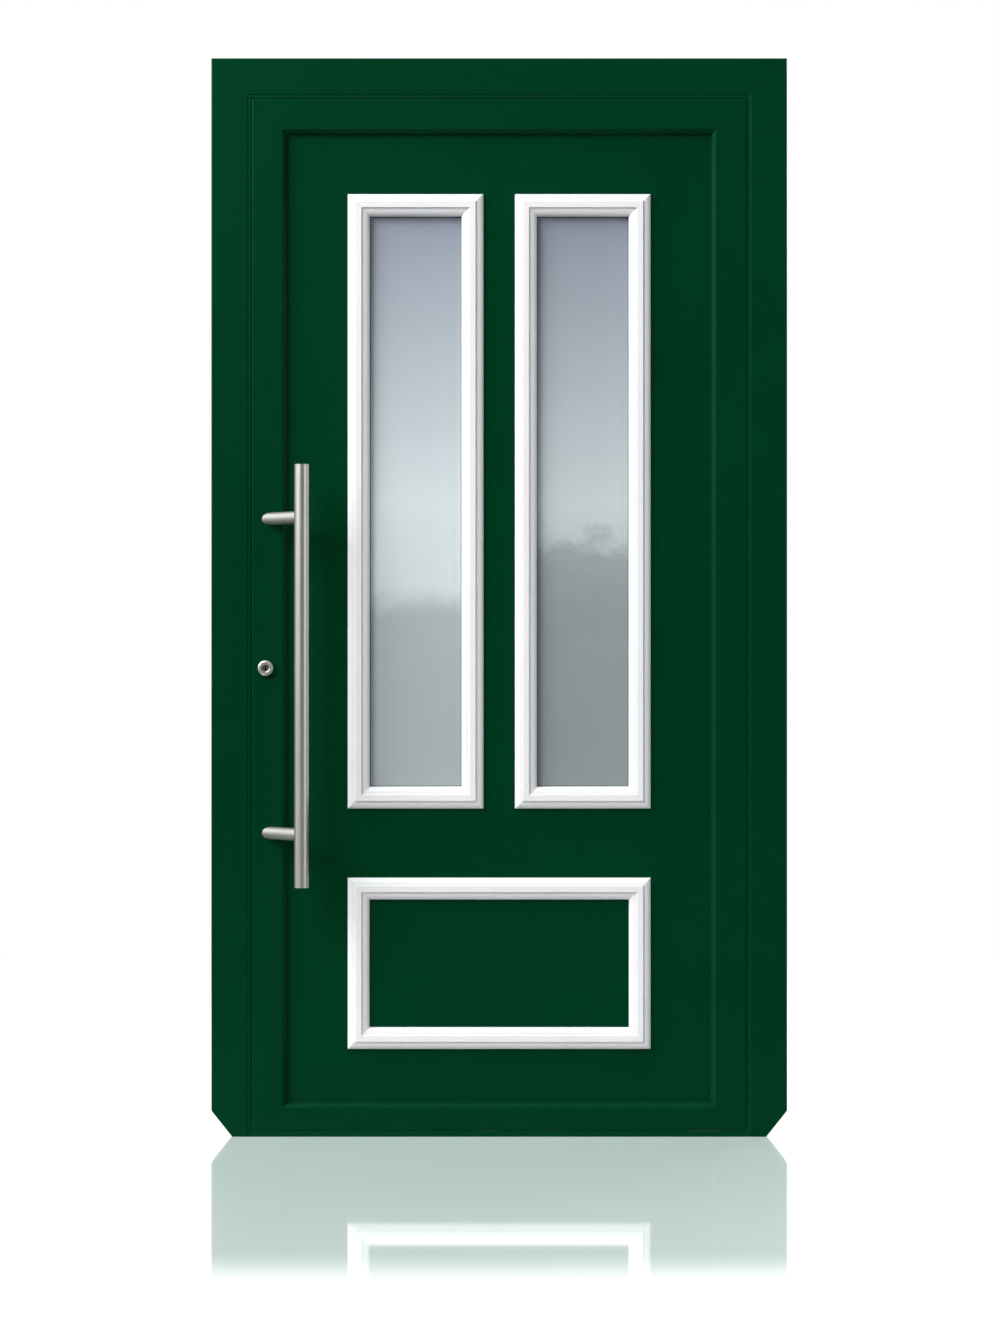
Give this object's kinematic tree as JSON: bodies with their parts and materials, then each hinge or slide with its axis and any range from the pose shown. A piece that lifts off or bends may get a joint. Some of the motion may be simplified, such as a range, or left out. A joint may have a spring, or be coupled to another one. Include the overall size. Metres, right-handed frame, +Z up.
{
  "type": "panelled front door with frame",
  "caption": "Panelled entrance door leaf in its frame, with glazed lites, applied moulding frames, a pull bar, a multipoint lock and barrel hinges; the leaf swings inward.",
  "frame": {"origin": "middle of the threshold's underside, at half of the frame's width and depth", "axes": "+X to the right seen from outside, +Y into the house, +Z up"},
  "size_m": [1.1, 0.216, 2.06],
  "materials": {
    "frame_green": "satin powder coat",
    "moulding_white": "satin",
    "clear_glass": "clear float glass",
    "stainless": "brushed",
    "hinge_metal": "satin powder coat",
    "black_rubber": "matte",
    "black_plastic": "matte",
    "core_foam": "matte",
    "raw_aluminium": "mill finish",
    "lock_steel": "zinc plated",
    "cylinder_metal": "nickel plated"
  },
  "bodies": {
    "frame": {"frame_head": "frame_green", "lock_jamb": "frame_green", "hinge_jamb": "frame_green", "jamb_foot_plugs": "black_plastic", "frame_corner_cleats": "raw_aluminium", "threshold": "frame_green", "stop_gasket": "black_rubber", "main_strike": "stainless", "end_strikes": "stainless", "hinge_frame_top": "hinge_metal", "hinge_frame_middle": "hinge_metal", "hinge_frame_bottom": "hinge_metal", "hinge_pins": "hinge_metal"},
    "leaf": {"sash_top_rail": "frame_green", "sash_bottom_rail": "frame_green", "sash_lock_stile": "frame_green", "sash_hinge_stile": "frame_green", "panel_outer_skin": "frame_green", "panel_inner_skin": "frame_green", "side_beads": "frame_green", "top_bead": "frame_green", "bottom_bead": "frame_green", "left_outer_moulding": "moulding_white", "right_outer_moulding": "moulding_white", "lower_outer_moulding": "moulding_white", "left_inner_moulding": "moulding_white", "right_inner_moulding": "moulding_white", "lower_inner_moulding": "moulding_white", "outer_panes": "clear_glass", "inner_panes": "clear_glass", "pull_bar": "stainless", "pull_bar_caps": "stainless", "pull_post_upper": "stainless", "pull_post_lower": "stainless", "outer_rosette": "stainless", "inner_backplate": "stainless", "lock_faceplate": "stainless", "hinge_leaf_top": "hinge_metal", "hinge_leaf_middle": "hinge_metal", "hinge_leaf_bottom": "hinge_metal", "outer_glazing_gasket": "black_rubber", "inner_glazing_gasket": "black_rubber", "bottom_seal": "black_rubber", "setting_blocks": "black_rubber", "panel_core": "core_foam", "sash_corner_cleats": "raw_aluminium", "glass_spacers": "raw_aluminium", "lock_case": "lock_steel", "end_lock_boxes": "lock_steel", "pull_bolts": "lock_steel", "cylinder_body": "cylinder_metal"},
    "lever": {"lever_handle": "stainless", "lever_spindle": "lock_steel"},
    "latch_bolt": {"latch": "stainless"},
    "main_bolt": {"deadbolt": "stainless"},
    "pin_bolts": {"end_bolts": "stainless"},
    "key_core": {"key_plugs": "cylinder_metal", "cylinder_cam": "cylinder_metal"},
    "rod": {"drive_rod": "lock_steel"}
  },
  "joints": [
    {"name": "leaf_swing", "type": "hinge", "parent": "frame", "child": "leaf", "pos_m": [0.499, 0.0485, 1.035], "axis": [0, 0, -1], "range_deg": [0, 100]},
    {"name": "lever_turn", "type": "hinge", "parent": "leaf", "child": "lever", "pos_m": [-0.446, 0.06, 0.987], "axis": [0, 1, 0], "range_deg": [0, 40], "stiffness_Nm_per_rad": 1, "springref_deg": -28.65},
    {"name": "latch_slide", "type": "slide", "parent": "leaf", "child": "latch_bolt", "axis": [1, 0, 0], "range_m": [0, 0.011]},
    {"name": "key_turn", "type": "hinge", "parent": "leaf", "child": "key_core", "pos_m": [-0.446, 0.0145, 0.895], "axis": [0, 1, 0], "range_deg": [0, 360]},
    {"name": "deadbolt_slide", "type": "slide", "parent": "leaf", "child": "main_bolt", "axis": [-1, 0, 0], "range_m": [0, 0.02]},
    {"name": "end_bolt_slide", "type": "slide", "parent": "leaf", "child": "pin_bolts", "axis": [-1, 0, 0], "range_m": [0, 0.02]},
    {"name": "drive_rod_slide", "type": "slide", "parent": "leaf", "child": "rod", "axis": [0, 0, 1], "range_m": [0, 0.018]}
  ],
  "couplings": [
    {"joint": "latch_slide", "follows": "lever_turn", "m_per_rad": 0.01575},
    {"joint": "key_turn", "follows": "drive_rod_slide", "rad_per_m": 349},
    {"joint": "deadbolt_slide", "follows": "drive_rod_slide", "ratio": 1.11},
    {"joint": "end_bolt_slide", "follows": "drive_rod_slide", "ratio": 1.11}
  ]
}
